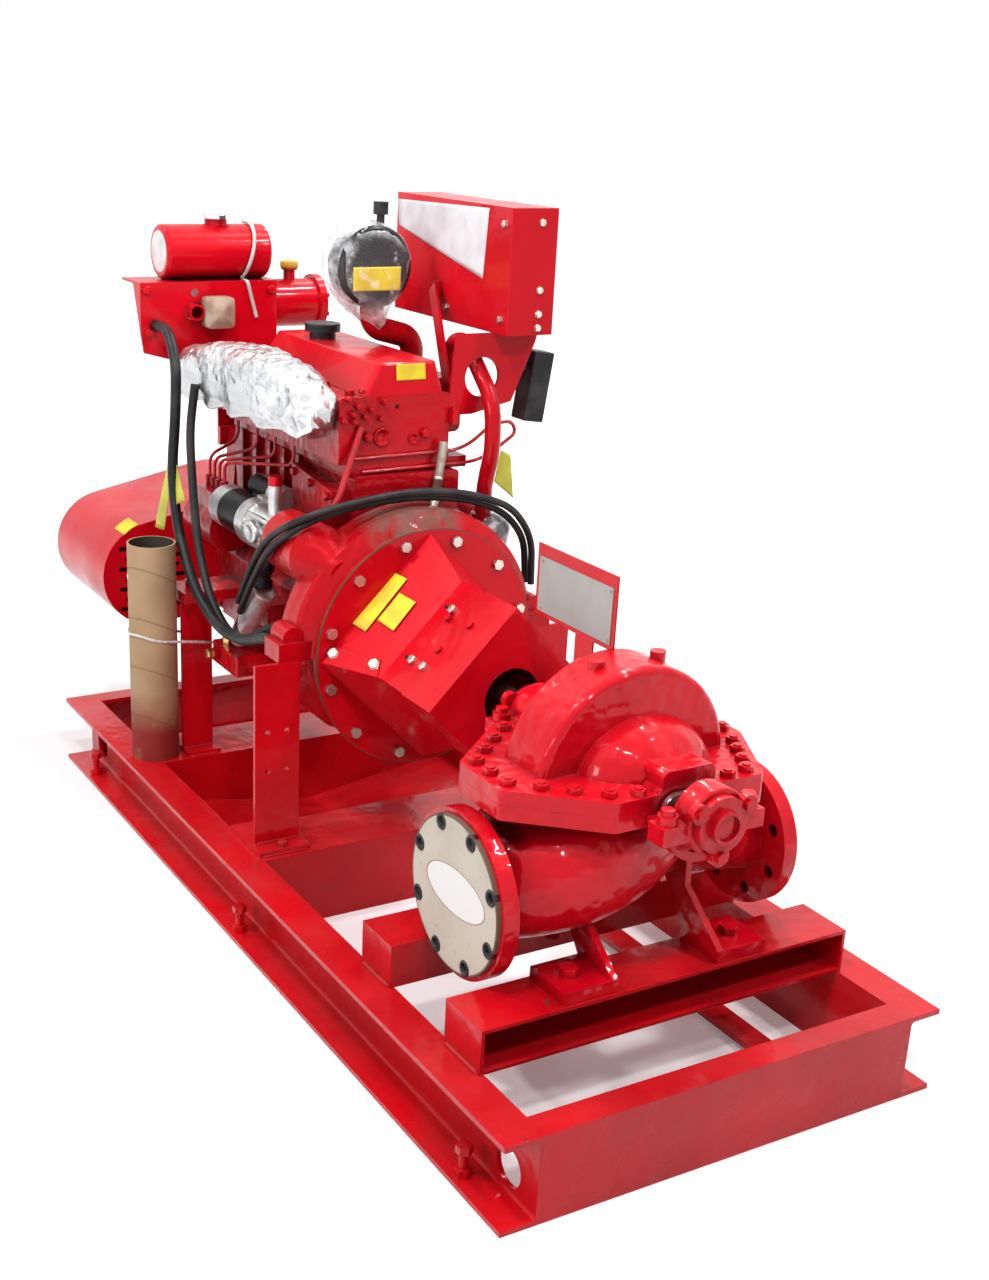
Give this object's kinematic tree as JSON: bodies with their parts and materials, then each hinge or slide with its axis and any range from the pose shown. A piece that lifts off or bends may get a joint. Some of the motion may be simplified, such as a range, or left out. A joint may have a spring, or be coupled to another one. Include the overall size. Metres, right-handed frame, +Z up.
{
  "type": "engine-driven fire pump set",
  "caption": "Horizontal split-case fire pump driven by an inline diesel engine on one welded channel base, with coupling guard, engine panel, cooling unit and belt guard.",
  "frame": {"origin": "centre of the welded base on the floor, on the underside of the front cross channel", "axes": "+X along the skid toward the pump end, +Y toward the discharge flange, +Z up"},
  "size_m": [2.2125, 0.844, 1.336],
  "materials": {
    "frame_paint": "glossy red enamel over mill scale",
    "engine_paint": "glossy red enamel on castings",
    "sheet_paint": "glossy red enamel on sheet",
    "pump_paint": "thick glossy red enamel on cast iron",
    "dark_steel": "machined steel",
    "bright_steel": "bright machined metal",
    "foil": "crumpled foil wrap",
    "black_plastic": "black moulded plastic",
    "chrome_cap": "polished pressed cap",
    "cover_board": "beige shipping board",
    "plate_metal": "bare grey plate",
    "tube_card": "brown spiral-wound card"
  },
  "bodies": {
    "root": {"left_rail": "frame_paint", "right_rail": "frame_paint", "pump_end_channel": "frame_paint", "engine_end_channel": "frame_paint", "front_cross_channel": "frame_paint", "rear_cross_channel": "frame_paint", "underframe_bar": "frame_paint", "levelling_screws": "frame_paint", "near_pump_support": "frame_paint", "far_pump_support": "frame_paint", "front_left_post": "frame_paint", "front_right_post": "frame_paint", "rear_left_post": "frame_paint", "rear_right_post": "frame_paint", "rear_mounts": "frame_paint", "drip_pan": "frame_paint", "engine_block": "engine_paint", "oil_pan": "engine_paint", "cylinder_head": "engine_paint", "rocker_cover": "engine_paint", "flywheel_housing": "engine_paint", "injection_pump": "engine_paint", "side_block": "engine_paint", "coolant_pipe": "engine_paint", "timing_cover": "engine_paint", "heat_exchanger": "engine_paint", "exchanger_bracket": "engine_paint", "coolant_tank": "engine_paint", "intake_pipe": "engine_paint", "intake_manifold": "engine_paint", "oil_filter": "engine_paint", "belt_guard": "sheet_paint", "instrument_panel": "sheet_paint", "panel_bracket": "sheet_paint", "guard_disc": "sheet_paint", "coupling_guard": "sheet_paint", "nameplate_stand": "sheet_paint", "pump_lower_casing": "pump_paint", "pump_upper_casing": "pump_paint", "casing_bolts": "pump_paint", "outboard_bearing": "pump_paint", "inboard_bearing": "pump_paint", "front_hub": "dark_steel", "pump_shaft": "bright_steel", "starter_motor": "bright_steel", "lift_pump": "bright_steel", "steel_lines": "bright_steel", "exhaust_manifold": "foil", "oil_filler_cap": "black_plastic", "air_cleaner": "black_plastic", "control_unit": "black_plastic", "cables": "black_plastic", "tank_cap": "chrome_cap", "suction_cover": "cover_board", "discharge_cover": "cover_board", "nameplate": "plate_metal", "paper_tube": "tube_card"}
  },
  "joints": []
}
